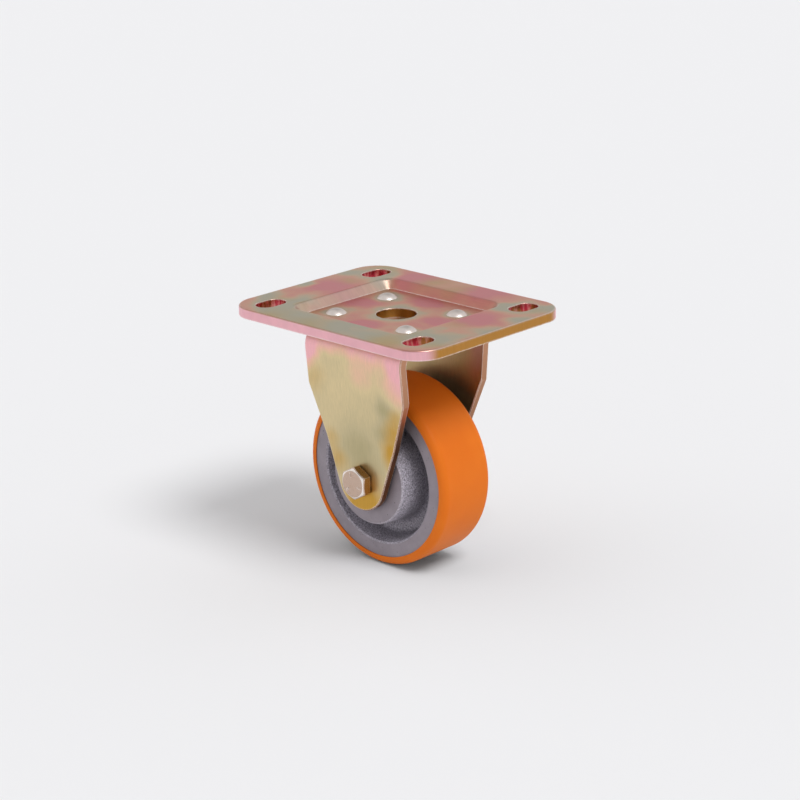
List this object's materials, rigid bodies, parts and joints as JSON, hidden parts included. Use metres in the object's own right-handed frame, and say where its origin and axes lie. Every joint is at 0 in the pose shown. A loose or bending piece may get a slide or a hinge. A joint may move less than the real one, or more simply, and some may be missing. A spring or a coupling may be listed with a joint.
{
  "type": "fixed castor",
  "caption": "Rigid castor: pressed plate with fixing slots, riveted sheet fork, iron wheel with a soft orange tread turning on ball bearings.",
  "frame": {"origin": "middle of the fixing slots, on the top face of the plate", "axes": "+Z out of the mounting face, X along the axle, Y along the travel"},
  "size_m": [0.085, 0.105, 0.105],
  "materials": {
    "plated_sheet": "yellow zinc passivated pressed sheet",
    "rivet_steel": "bright zinc plated, domed",
    "plated_bolt": "zinc plated fastener",
    "turned_steel": "turned steel",
    "bearing_steel": "ground bearing steel",
    "pressed_steel": "pressed steel sheet",
    "cast_iron": "grey cast iron, turned on the faces, rough in the web",
    "polyurethane": "satin cast polyurethane, orange",
    "nylon": "white nylon"
  },
  "bodies": {
    "bracket": {"top_plate": "plated_sheet", "fork": "plated_sheet", "rivet_rear_left": "rivet_steel", "rivet_front_left": "rivet_steel", "rivet_rear_right": "rivet_steel", "rivet_front_right": "rivet_steel", "axle_bolt": "plated_bolt", "lock_nut": "plated_bolt", "nut_ring": "nylon", "axle_sleeve": "turned_steel", "inner_spacer": "turned_steel", "left_collar": "turned_steel", "right_collar": "turned_steel", "left_inner_ring": "bearing_steel", "right_inner_ring": "bearing_steel"},
    "wheel": {"wheel_core": "cast_iron", "tread": "polyurethane", "left_outer_ring": "bearing_steel", "right_outer_ring": "bearing_steel", "left_shield_outside": "pressed_steel", "left_shield_inside": "pressed_steel", "right_shield_outside": "pressed_steel", "right_shield_inside": "pressed_steel"},
    "left_ball_cage": {"left_cage": "pressed_steel", "left_balls": "bearing_steel"},
    "right_ball_cage": {"right_cage": "pressed_steel", "right_balls": "bearing_steel"}
  },
  "joints": [
    {"name": "wheel_spin", "type": "hinge", "parent": "bracket", "child": "wheel", "pos_m": [0, 0, -0.0675], "axis": [1, 0, 0], "continuous": true},
    {"name": "left_cage_spin", "type": "hinge", "parent": "bracket", "child": "left_ball_cage", "pos_m": [-0.014, 0, -0.0675], "axis": [1, 0, 0], "continuous": true},
    {"name": "right_cage_spin", "type": "hinge", "parent": "bracket", "child": "right_ball_cage", "pos_m": [0.014, 0, -0.0675], "axis": [1, 0, 0], "continuous": true}
  ],
  "couplings": [
    {"joint": "left_cage_spin", "follows": "wheel_spin", "ratio": 0.59922},
    {"joint": "right_cage_spin", "follows": "wheel_spin", "ratio": 0.59922}
  ]
}
